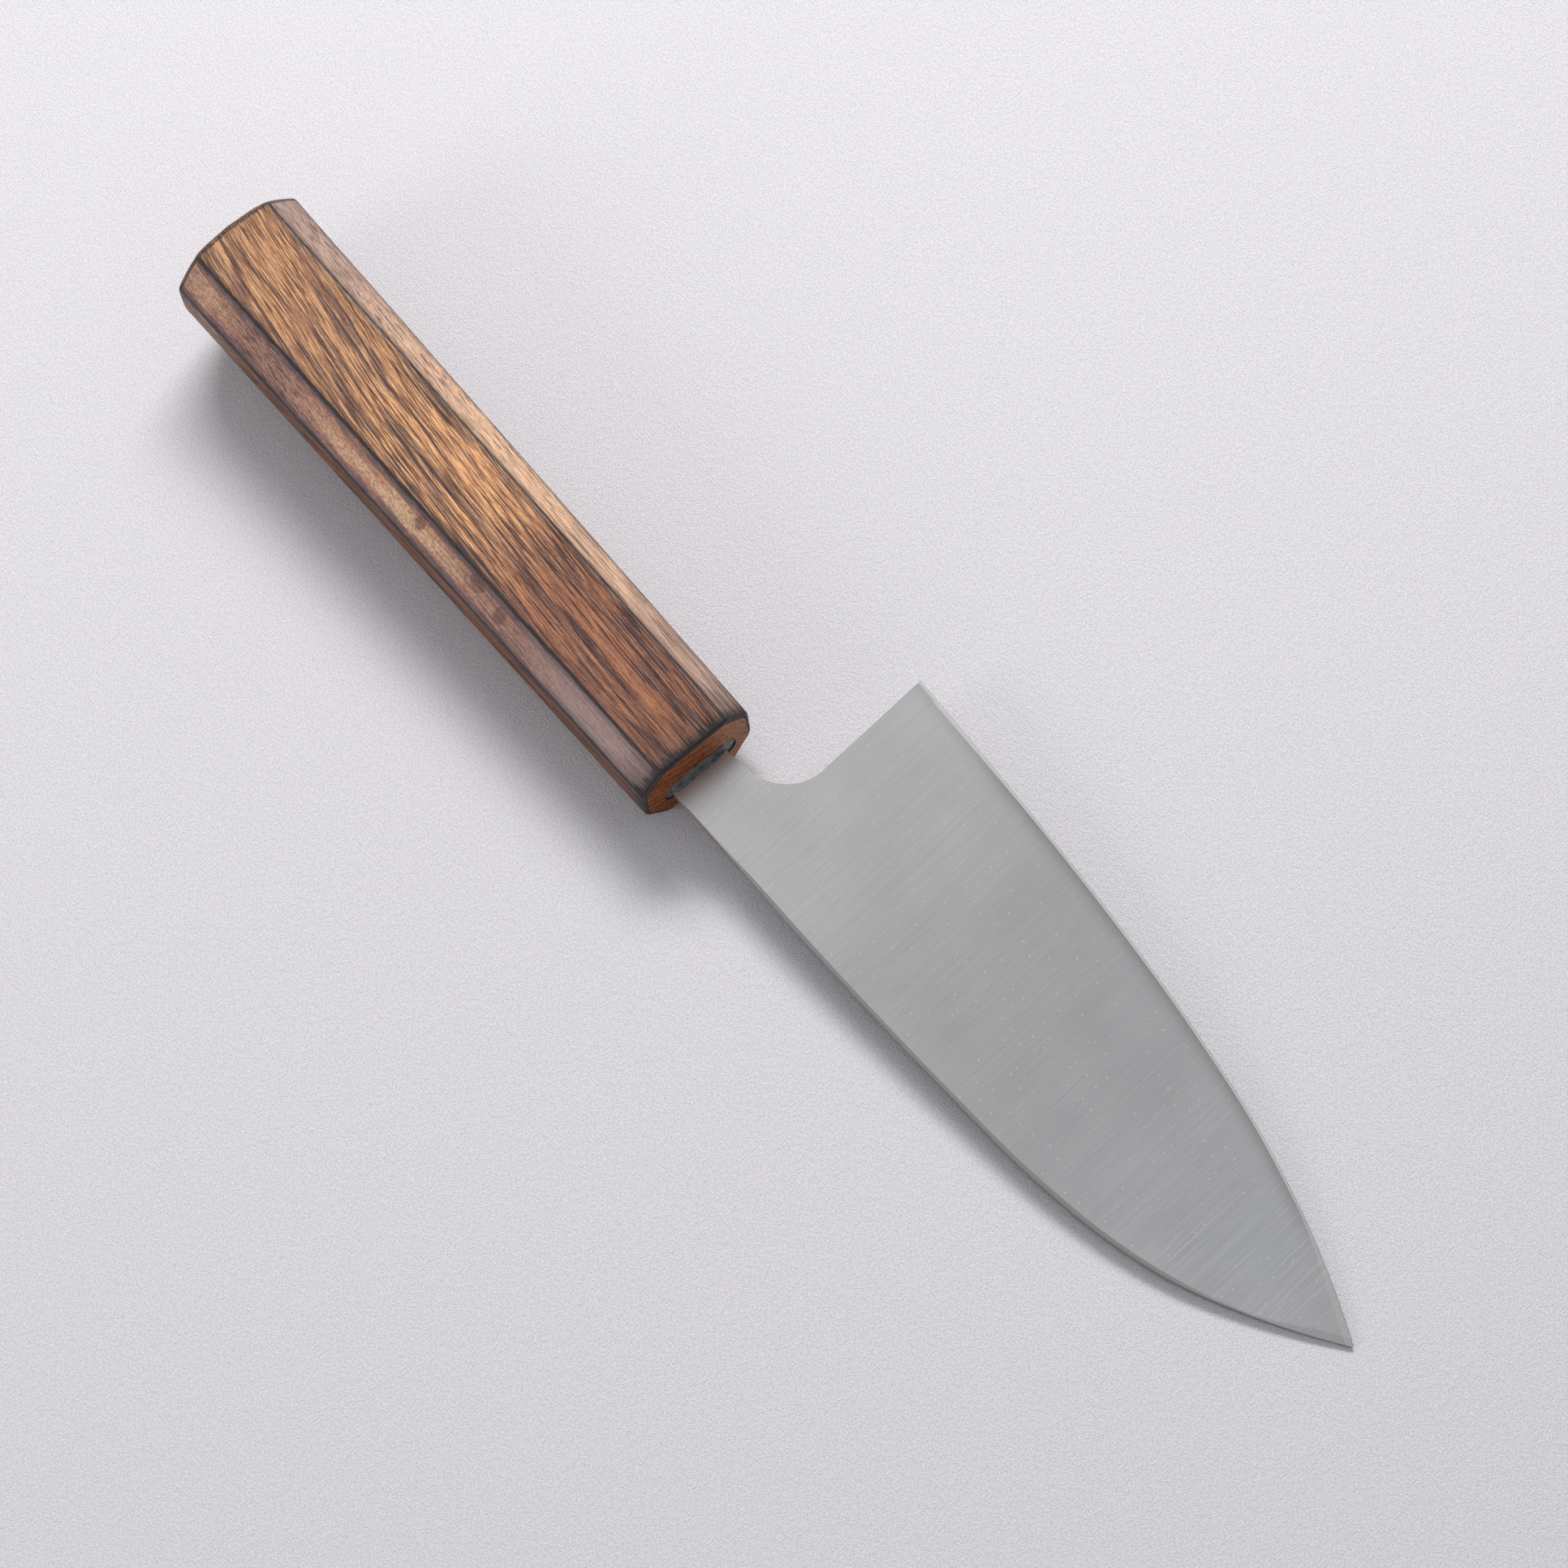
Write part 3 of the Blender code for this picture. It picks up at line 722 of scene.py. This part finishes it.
def make_blade(material):
    """Blade, neck and tang: a grid for the back, one for the outer face, and rounded walls between them."""
    shape = Shape(("rim", "edge_highlight", "slope_shade", "wall", "outer", "bevel"))
    neck, body = blade_stations()
    rows = neck + body
    first_body = len(neck)
    widest = NECK_COLUMNS + HEEL_COLUMNS

    # The outline as (row, column) steps: along the spine, back along the edge, down the heel, along the neck.
    loop = [(i, 0) for i in range(len(rows))]
    loop += [(len(rows) - 1, k) for k in range(1, widest)]
    loop += [(i, widest) for i in range(len(rows) - 1, first_body - 1, -1)]
    loop += [(first_body, k) for k in range(widest - 1, NECK_COLUMNS, -1)]
    loop += [(first_body, NECK_COLUMNS)]
    loop += [(i, NECK_COLUMNS) for i in range(first_body - 1, -1, -1)]
    loop += [(0, k) for k in range(NECK_COLUMNS - 1, 0, -1)]
    outline = {place: Vector(rows[place[0]][place[1]]) for place in loop}

    def inward(k):
        before = outline[loop[k - 1]]
        after = outline[loop[(k + 1) % len(loop)]]
        run = (after - before).normalized()
        return Vector((-run.y, run.x))

    def is_cutting_edge(place):
        return place[1] == widest and place[0] >= first_body

    inset = {}
    for k, place in enumerate(loop):
        row = rows[place[0]]
        width = clamp((row[-1][1] - row[0][1]) / 1.5)
        inset[place] = (inward(k), (EDGE_INSET if is_cutting_edge(place) else OUTLINE_ROUNDING) * width)

    def height_pair(x, y, row):
        if row < first_body and x < 0:
            t = clamp(-x / TANG_LENGTH)
            half = blend(NECK_THICKNESS, TANG_END_THICKNESS, t) / 2
            centre = BACK_Z - NECK_THICKNESS / 2
            return centre + half, centre - half
        return back_height(x, y), outer_height(x, y)

    tops = {}
    unders = {}
    for i, row in enumerate(rows):
        for k, (x, y) in enumerate(row):
            high, low = height_pair(x, y, i)
            place = (i, k)
            px, py = x, y
            if place in inset:
                normal, radius = inset[place]
                px += normal.x * radius
                py += normal.y * radius
            from_spine = y - spine_y(x)
            from_edge = edge_y(x) - y
            on_rim = 1.0 if x > 6 and from_spine < spine_rim(x) else 0.0
            heel_side = 1.0 if i >= first_body else 0.0
            past_rim = from_edge - edge_rim(x)
            # Weight of the painted shade on the band inside the cutting edge's rim.
            slope_shade = clamp(1 - past_rim / 3.2) ** 2 * (1 - ease(126, 140, x))
            # The cutting edge's rim takes the painted highlight.
            back = {
                "rim": on_rim * ease(6, 22, x),
                "edge_highlight": heel_side if past_rim < 0 else 0.0,
                "slope_shade": heel_side * slope_shade if past_rim > 0 else 0.0,
            }
            bevel = 1.0 if outer_height(x, y) > BACK_Z - blade_thickness(x) + 0.01 else 0.0
            tops[place] = shape.point(px, py, high, **back)
            unders[place] = shape.point(px, py, low, outer=1.0, bevel=bevel)

    def quads(table, turned):
        for i in range(len(rows) - 1):
            last = NECK_COLUMNS if i < first_body else widest
            for k in range(last):
                corners = [table[(i, k)], table[(i + 1, k)], table[(i + 1, k + 1)], table[(i, k + 1)]]
                shape.face(*(reversed(corners) if turned else corners))

    quads(tops, False)
    quads(unders, True)

    levels = []
    for k, place in enumerate(loop):
        x, y = outline[place]
        high, low = height_pair(x, y, place[0])
        normal, radius = inset[place]
        cutting = is_cutting_edge(place)
        depth = EDGE_DEPTH if cutting else radius
        # The cutting edge's fine bevel takes the painted highlight.
        walls = {"wall": 0.0 if cutting else 1.0, "edge_highlight": 1.0 if cutting else 0.0}
        column = [tops[place]]
        upper = ((0.4, high - depth * 0.3), (0.0, high - depth))
        lower = ((0.0, low + depth), (0.4, low + depth * 0.3))
        for share, level in upper + lower:
            away = normal * radius * share
            column.append(shape.point(x + away.x, y + away.y, level, **walls))
        column.append(unders[place])
        levels.append(column)
    for k, column in enumerate(levels):
        following = levels[(k + 1) % len(levels)]
        for a in range(len(column) - 1):
            shape.face(column[a], column[a + 1], following[a + 1], following[a])
    finish_mesh("ground_blade", shape, material, "blade", 14)


# ---------------------------------------------------------------- handle


def octagon(x):
    """Corners of the handle's section at x, as (y, z), from the top's edge side round by the edge."""
    t = -x / HANDLE_LENGTH
    width, thickness, run, drop, rise = (blend(a, b, t) for a, b in zip(FRONT, BUTT))
    half = width / 2
    top = thickness / 2
    right = [(half - run, top), (half, top - drop), (half, rise - top), (half - run, -top)]
    return right + [(-y, z) for y, z in reversed(right)]


# The look of the facet that starts at each corner, in the order that octagon() gives them.
FACETS = ("edge_chamfer", "side", "side", "bottom", "side", "side", "spine_chamfer", "top")
# Each corner's rounding, and the half width of the scorched line along it.
CORNER_ROUNDING = (0.8, 1.5, 2.0, 1.2, 1.2, 1.6, 1.0, 0.6)
SCORCH_WIDTH = (0.24, 0.2, 0.3, 0.3, 0.3, 0.3, 0.42, 0.36)
ARC_STEPS = 6
# Distances from a facet's ends to its extra points.
FLAT_STEPS = (0.25, 0.7, 1.6)
FACET_HOLLOW = 0.05
BUTT_RADIUS = 0.8
FRONT_RADIUS = 0.55
ROUND_STEPS = 4
BODY_RINGS = 64
BUTT_START = 1.5
# Stands for a distance too large to matter.
FAR = 9.0

# Rows from the slot's bottom to the front's rounded edge: x, share of the way out from the slot,
# distance to the nearer lip.
FRONT_FACE_ROWS = (
    (-MORTISE_DEPTH, 0.0, 0.0),
    (-40.0, 0.0, 0.0),
    (-3.0, 0.0, 0.0),
    (-0.2, 0.0, 0.0),
    (-0.05, 0.012, 0.0),
    (0.0, 0.04, 0.1),
    (0.0, 0.1, 0.5),
    (0.0, 0.3, 2.0),
    (0.0, 0.6, 2.0),
    (0.0, 0.85, 1.2),
    (0.0, 0.96, 0.3),
)


def facet_values(name, weight):
    return {key: weight if key == name else 0.0 for key in ("spine_chamfer", "edge_chamfer", "side")}


def handle_ring(x, worn):
    """The section's points, each with its facets' weights and its distance to the nearest long edge."""
    corners = [Vector(corner) for corner in octagon(x)]
    count = len(corners)
    arcs = []
    cuts = []
    for i, corner in enumerate(corners):
        cut = CORNER_ROUNDING[i] * (0.8 + 0.2 * wobble(x, i + 1, 17.0) * worn)
        back = (corners[i - 1] - corner).normalized() * cut
        ahead = (corners[(i + 1) % count] - corner).normalized() * cut
        arc = []
        for step in range(ARC_STEPS + 1):
            t = step / ARC_STEPS
            arc.append((1 - t) ** 2 * (corner + back) + 2 * t * (1 - t) * corner + t * t * (corner + ahead))
        arcs.append(arc)
        cuts.append(cut)
    ring = []
    for i in range(count):
        facet = FACETS[i]
        before = FACETS[i - 1]
        following = (i + 1) % count
        for step, point in enumerate(arcs[i]):
            weight = step / ARC_STEPS
            values = facet_values(before, 1 - weight)
            for key, number in facet_values(facet, weight).items():
                values[key] += number
            from_corner = abs(2 * weight - 1) * cuts[i]
            values["edge_mm"] = from_corner
            values["scorch"] = from_corner / SCORCH_WIDTH[i]
            ring.append((point, values))
        start = arcs[i][-1]
        end = arcs[following][0]
        length = (end - start).length
        outward = Vector((-(end - start).y, (end - start).x)).normalized()
        if outward.dot(start) < 0:
            outward = -outward
        stops = list(FLAT_STEPS) + [length / 2] + [length - d for d in reversed(FLAT_STEPS)]
        for d in stops:
            hollow = FACET_HOLLOW * (1 + wobble(x, i + 31, 23.0)) * worn * math.sin(math.pi * d / length)
            to_start = d + cuts[i]
            to_end = length - d + cuts[following]
            values = facet_values(facet, 1.0)
            values["edge_mm"] = min(to_start, to_end)
            values["scorch"] = min(to_start / SCORCH_WIDTH[i], to_end / SCORCH_WIDTH[following])
            ring.append((start.lerp(end, d / length) - outward * hollow, values))
    return ring


def slot_reach(angle):
    """Distance from the slot's centre to its rounded outline in a direction."""
    low, high = 0.0, SLOT_WIDTH
    for _ in range(30):
        middle = (low + high) / 2
        over_y = max(0.0, abs(middle * math.cos(angle)) - (SLOT_WIDTH / 2 - SLOT_CORNER))
        over_z = max(0.0, abs(middle * math.sin(angle)) - (SLOT_HEIGHT / 2 - SLOT_CORNER))
        if math.hypot(over_y, over_z) < SLOT_CORNER:
            low = middle
        else:
            high = middle
    return low


def dome_x(y, z):
    """The butt's domed end at a point of the section."""
    corner = math.hypot(BUTT[0] / 2, BUTT[1] / 2 - BUTT[3])
    reach = min(math.hypot(y, z), corner)
    rise = math.sqrt(DOME_RADIUS**2 - reach**2) - math.sqrt(DOME_RADIUS**2 - corner**2)
    return DOME_INSET - HANDLE_LENGTH - rise


def make_handle(material):
    """The handle's skin, from the bottom of the slot out over the front, along the body and over the butt."""
    facets = ("spine_chamfer", "edge_chamfer", "side", "end_grain")
    shape = Shape((*facets, "edge_mm", "scorch", "butt_mm", "lip_mm"))
    rings = []

    def add_ring(place, x_section, worn=0.0, **fixed):
        """A ring of the section at x_section, each point put in place by a function of its y and z."""
        row = []
        for point, values in handle_ring(x_section, worn):
            everything = {"butt_mm": FAR, "lip_mm": FAR, **values, **fixed}
            row.append(shape.point(*place(point.x, point.y), **everything))
        rings.append(row)

    # Front: the slot's wall and lip, then the end grain.
    outline = [point for point, _ in handle_ring(0.0, 0.0)]
    centre = Vector(SLOT_CENTRE)
    shrink = 1 - FRONT_RADIUS / (FRONT[1] / 2)
    rays = []
    for point in outline:
        away = (point - centre).normalized()
        rays.append((centre + away * slot_reach(math.atan2(away.y, away.x)), point * shrink))
    for x, share, lip in FRONT_FACE_ROWS:
        row = []
        values = {"end_grain": 1.0, "lip_mm": lip, "scorch": FAR, "edge_mm": FAR, "butt_mm": FAR}
        for inner, outer in rays:
            row.append(shape.point(x, *inner.lerp(outer, share), **values))
        rings.append(row)
    middle = shape.point(-MORTISE_DEPTH, *SLOT_CENTRE, end_grain=1.0)
    for i, corner in enumerate(rings[0]):
        shape.face(corner, middle, rings[0][(i + 1) % len(rings[0])])

    # The front's rounded edge.
    for step in range(ROUND_STEPS + 1):
        angle = 0.5 * math.pi * step / ROUND_STEPS
        x = -FRONT_RADIUS * (1 - math.cos(angle))
        scale = 1 - FRONT_RADIUS * (1 - math.sin(angle)) / (FRONT[1] / 2)
        add_ring(lambda y, z: (x, y * scale, z * scale), 0.0, end_grain=clamp(1 - step / 2), lip_mm=0.0)

    # The body, then the butt's rounded edge and dome.
    for step in range(BODY_RINGS + 1):
        t = step / BODY_RINGS
        x = blend(-FRONT_RADIUS - 0.5, BUTT_START - HANDLE_LENGTH, t)
        from_butt = BUTT_RADIUS * 0.5 + x + HANDLE_LENGTH
        worn = ease(0.0, 0.05, t) * ease(0.0, 0.05, 1 - t)
        add_ring(lambda y, z: (x, y, z), x, worn, butt_mm=from_butt)
    for back in (0.9, 0.45, 0.15):
        add_ring(lambda y, z: (dome_x(y, z) + BUTT_RADIUS + back, y, z), -HANDLE_LENGTH, butt_mm=back)
    for step in range(ROUND_STEPS + 1):
        angle = 0.5 * math.pi * step / ROUND_STEPS
        back = BUTT_RADIUS * (1 - math.sin(angle))
        scale = 1 - BUTT_RADIUS * (1 - math.cos(angle)) / (BUTT[1] / 2)
        add_ring(
            lambda y, z: (dome_x(y, z) + back, y * scale, z * scale),
            -HANDLE_LENGTH,
            end_grain=clamp(step / 2),
            butt_mm=0.0,
        )
    for scale in (0.88, 0.8, 0.6, 0.4, 0.2, 0.07):
        add_ring(
            lambda y, z: (dome_x(y * scale, z * scale), y * scale, z * scale),
            -HANDLE_LENGTH,
            end_grain=1.0,
        )
    for row, following in zip(rings, rings[1:]):
        shape.strip(row, following, True)
    apex = shape.point(dome_x(0.0, 0.0), 0.0, 0.0, end_grain=1.0, butt_mm=FAR, lip_mm=FAR)
    for i, vertex in enumerate(rings[-1]):
        shape.face(vertex, rings[-1][(i + 1) % len(rings[-1])], apex)
    finish_mesh("octagonal_handle", shape, material, "handle_body", 40)


# ---------------------------------------------------------------- resin seal


SEAL_CLEARANCE = 0.03
PLUG_ROWS = (-3.0, -1.6, -0.6, -0.2)
PLUG_STEPS = 72
SMEAR_ROWS = 60
SMEAR_STEPS = 9
SMEAR_CLIMB = 1.5
SMEAR_REACH = 0.85


def add_plug(shape):
    """The filling of the slot's mouth: a ring between the slot's wall and the neck."""
    low_y = NECK_SPINE_Y - SEAL_CLEARANCE
    high_y = NECK_EDGE_Y + SEAL_CLEARANCE
    low_z = BACK_Z - NECK_THICKNESS - SEAL_CLEARANCE
    high_z = BACK_Z + SEAL_CLEARANCE
    plug = []
    for x in PLUG_ROWS:
        outer_row = []
        inner_row = []
        for i in range(PLUG_STEPS):
            angle = 2 * math.pi * i / PLUG_STEPS
            reach = slot_reach(angle) - SEAL_CLEARANCE
            rough = 0.16 * wobble(i, 3.0 + x, 2.3) if x > -1.0 else 0.0
            y = SLOT_CENTRE[0] + reach * math.cos(angle)
            z = SLOT_CENTRE[1] + reach * math.sin(angle)
            outer_row.append(shape.point(x + rough, y, z))
            inner_y = clamp(y, low_y, high_y)
            inner_z = clamp(z, low_z, high_z)
            if low_y < inner_y < high_y and low_z < inner_z < high_z:
                inner_z = high_z if z > SLOT_CENTRE[1] else low_z
            inner_row.append(shape.point(x + rough * 0.5 + 0.1, inner_y, inner_z))
        plug.append((outer_row, inner_row))
    for (outer_row, inner_row), (next_outer, next_inner) in zip(plug, plug[1:]):
        shape.strip(outer_row, next_outer, True)
        shape.strip(next_inner, inner_row, True)
    shape.strip(plug[0][1], plug[0][0], True)
    shape.strip(plug[-1][0], plug[-1][1], True)


def add_smear(shape):
    """The resin that climbs the wood above the neck: sections across it, each a concave fillet."""
    floor = BACK_Z + SEAL_CLEARANCE
    rows = []
    for i in range(SMEAR_ROWS + 1):
        t = i / SMEAR_ROWS
        y = blend(NECK_SPINE_Y - 0.05, NECK_EDGE_Y + 0.05, t)
        swell = math.sin(math.pi * t ** 0.8)
        climb = 0.3 + SMEAR_CLIMB * swell ** 0.75 * (1 - 0.25 * t) + 0.25 * wobble(y, 2, 1.4) * swell
        reach = 0.3 + SMEAR_REACH * clamp(swell * 2.2) ** 0.5 * (1 - 0.3 * t) + 0.16 * wobble(y, 5, 1.1)
        top = BACK_Z + climb + 0.6
        row = [shape.point(SEAL_CLEARANCE, y, floor), shape.point(SEAL_CLEARANCE, y, top)]
        for step in range(1, SMEAR_STEPS):
            s = step / SMEAR_STEPS
            fillet_x = SEAL_CLEARANCE + reach * (1 - (1 - s) ** 0.75)
            fillet_z = blend(top, floor, 1 - (1 - s) ** 1.9)
            rough = 0.1 * noise.noise(Vector((fillet_x, y, fillet_z)) * 1.7)
            row.append(shape.point(fillet_x + rough + 0.06, y, fillet_z + rough * 0.5))
        row.append(shape.point(SEAL_CLEARANCE + reach + 0.05, y, floor))
        rows.append(row)
    for row, following in zip(rows, rows[1:]):
        shape.strip(row, following, True)
    shape.bm.faces.new(rows[0])
    shape.bm.faces.new(rows[-1])


def make_seal(material):
    """The plug in the slot round the neck, and the smear of resin above it."""
    shape = Shape(())
    add_plug(shape)
    add_smear(shape)
    finish_mesh("mouth_resin", shape, material, "mouth_seal", 50)


# ---------------------------------------------------------------- scene


def make_floor(material):
    half = 2.0
    mesh = bpy.data.meshes.new("paper_floor")
    corners = [(-half, -half, 0.0), (half, -half, 0.0), (half, half, 0.0), (-half, half, 0.0)]
    mesh.from_pydata(corners, [], [(0, 1, 2, 3)])
    mesh.materials.append(material)
    floor = bpy.data.objects.new("paper_floor", mesh)
    bpy.context.scene.collection.objects.link(floor)


def area_light(name, direction, distance, size, power, colour):
    """A soft light, its size a width and a height, that shines on the origin from a direction."""
    light = bpy.data.lights.new(name, "AREA")
    light.shape = "RECTANGLE"
    light.size, light.size_y = size
    light.energy = power
    light.color = colour
    lamp = bpy.data.objects.new(name, light)
    away = Vector(direction).normalized()
    lamp.location = away * distance
    lamp.rotation_euler = away.to_track_quat("Z", "Y").to_euler()
    bpy.context.scene.collection.objects.link(lamp)


def make_camera():
    """A long lens above the tip side of the knife, placed round a point near the heel of the blade."""
    target = Vector((12.1, 9.4, BACK_Z)) * MM
    distance = 0.9891
    azimuth = math.radians(-31.27)
    elevation = math.radians(71.3)
    roll = math.radians(9.28)
    flat = math.cos(elevation)
    away = Vector((flat * math.cos(azimuth), flat * math.sin(azimuth), math.sin(elevation)))
    level = (-away).cross(Vector((0, 0, 1))).normalized()
    upright = level.cross(-away)
    up = upright * math.cos(roll) + level * math.sin(roll)
    right = (-away).cross(up)
    turn = Matrix((right, up, away)).transposed().to_4x4()
    camera = bpy.data.cameras.new("camera")
    camera.lens = 130.4
    camera.sensor_width = 36.0
    camera.clip_start = 0.05
    camera.clip_end = 20.0
    holder = bpy.data.objects.new("camera", camera)
    holder.matrix_world = KNIFE @ Matrix.Translation(target + away * distance) @ turn
    bpy.context.scene.collection.objects.link(holder)
    bpy.context.scene.camera = holder


def make_lights():
    """A wide softbox on the edge's side, a panel overhead, a small softbox behind the spine, and a fill."""
    area_light("key_softbox", (-0.71, 0.60, 0.98), 1.05, (0.66, 0.28), 9.35, (1.0, 0.985, 0.975))
    area_light("overhead_panel", (-0.28, 0.17, 0.94), 1.8, (1.6, 1.6), 2.0, (0.97, 0.985, 1.0))
    area_light("spine_softbox", (-0.25, -0.88, 0.42), 1.1, (0.45, 0.45), 2.2, (1.0, 0.99, 0.98))
    world = bpy.data.worlds.new("studio")
    world.use_nodes = True
    background = world.node_tree.nodes["Background"]
    background.inputs["Color"].default_value = (0.93, 0.94, 1.0, 1.0)
    background.inputs["Strength"].default_value = 0.335
    bpy.context.scene.world = world
    bpy.context.scene.view_settings.view_transform = "Standard"


def build():
    make_blade(steel_material())
    make_handle(wood_material())
    resin = resin_material()
    make_seal(resin)
    bedding = frame["nodes"]["tang_bedding"]
    bedding.data.materials.clear()
    bedding.data.materials.append(resin)
    make_floor(paper_material())
    make_camera()
    make_lights()


build()
